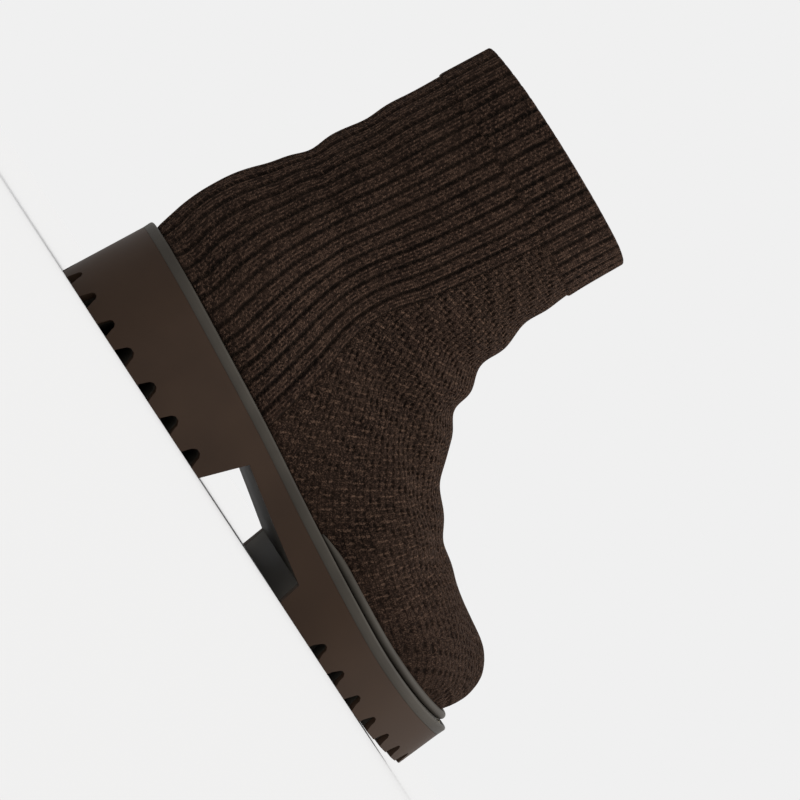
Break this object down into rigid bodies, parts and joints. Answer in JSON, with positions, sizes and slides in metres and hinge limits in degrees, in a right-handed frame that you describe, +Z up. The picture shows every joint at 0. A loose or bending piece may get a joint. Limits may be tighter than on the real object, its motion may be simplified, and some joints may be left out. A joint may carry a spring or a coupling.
{
  "type": "wool ankle boot",
  "caption": "Right slip-on ankle boot: hollow knitted sock upper on an insole, olive welt and bead, brown wedge-and-heel rubber unit and a lugged olive tread.",
  "frame": {"origin": "middle of the footprint on the floor, at the middle of the length and width", "axes": "+X from heel to toe, +Y to the wearer's left (medial side), +Z up"},
  "size_m": [0.2796, 0.102, 0.2067],
  "materials": {
    "knit": "matte wool rib and tuck knit",
    "brown_rubber": "smooth semi-matte moulded",
    "olive_rubber": "fine sandblasted moulded",
    "insole_felt": "matte felt"
  },
  "bodies": {
    "root": {"outsole": "olive_rubber", "sidewall": "brown_rubber", "welt": "olive_rubber", "rand_bead": "olive_rubber", "insole": "insole_felt", "upper": "knit"}
  },
  "joints": []
}
